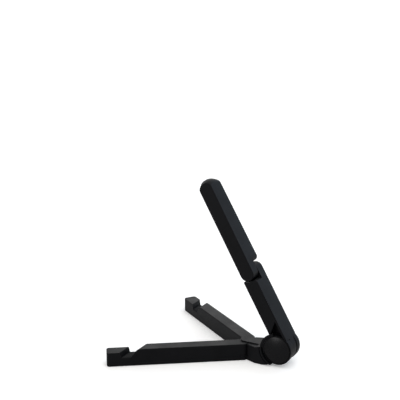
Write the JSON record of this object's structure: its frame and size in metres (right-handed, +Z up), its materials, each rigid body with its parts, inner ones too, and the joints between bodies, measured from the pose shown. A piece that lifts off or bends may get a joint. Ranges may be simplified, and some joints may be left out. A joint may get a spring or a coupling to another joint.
{
  "type": "folding record stand",
  "caption": "Small folding stand of black plastic: legs that spread in a V, and a jointed arm that rises from a hub and leans forward to hold a record sleeve upright.",
  "frame": {"origin": "on the table, under the middle of the open stand's outline", "axes": "+Z up, -Y towards the front of the sleeve, +X towards the right leg as seen from the front"},
  "size_m": [0.1732, 0.1634, 0.1734],
  "materials": {
    "black_plastic": "satin, fine moulded texture",
    "black_rubber": "matte",
    "dark_steel": "dark plated",
    "nylon": "smooth, undyed",
    "brass": "turned"
  },
  "bodies": {
    "hub": {"hub": "black_plastic", "hub_foot": "black_rubber", "pivot_bolt": "dark_steel", "pivot_nut": "dark_steel", "pivot_cap_left": "black_plastic", "friction_washer_left": "nylon", "pivot_cap_right": "black_plastic", "friction_washer_right": "nylon"},
    "leg_left": {"leg_left": "black_plastic", "leg_cover_left": "black_plastic", "leg_cover_screws_left": "dark_steel", "leg_foot_left": "black_rubber", "leg_seat_left": "black_rubber", "leg_pivot_screw_left": "dark_steel", "leg_pivot_washer_left": "nylon"},
    "leg_right": {"leg_right": "black_plastic", "leg_cover_right": "black_plastic", "leg_cover_screws_right": "dark_steel", "leg_foot_right": "black_rubber", "leg_seat_right": "black_rubber", "leg_pivot_screw_right": "dark_steel", "leg_pivot_washer_right": "nylon"},
    "lower_arm": {"lower_arm": "black_plastic", "lower_arm_cover": "black_plastic", "lower_arm_cover_screws": "dark_steel"},
    "upper_arm": {"upper_arm": "black_plastic", "upper_arm_cover": "black_plastic", "upper_arm_cover_screws": "dark_steel", "tip_pad": "black_rubber", "elbow_bolt": "dark_steel", "elbow_insert": "brass", "elbow_washer": "nylon"}
  },
  "joints": [
    {"name": "leg_left_swing", "type": "hinge", "parent": "hub", "child": "leg_left", "pos_m": [-0.0071, 0.02837, 0], "axis": [0, 0, 1], "range_deg": [0, 35]},
    {"name": "leg_right_swing", "type": "hinge", "parent": "hub", "child": "leg_right", "pos_m": [0.0071, 0.02837, 0], "axis": [0, 0, 1], "range_deg": [-35, 0]},
    {"name": "arm_pivot", "type": "hinge", "parent": "hub", "child": "lower_arm", "pos_m": [0, 0.06707, 0.0172], "axis": [1, 0, 0], "range_deg": [-40, 56]},
    {"name": "elbow", "type": "hinge", "parent": "lower_arm", "child": "upper_arm", "pos_m": [0, 0.03442, 0.08784], "axis": [1, 0, 0], "range_deg": [-90, 0]}
  ]
}
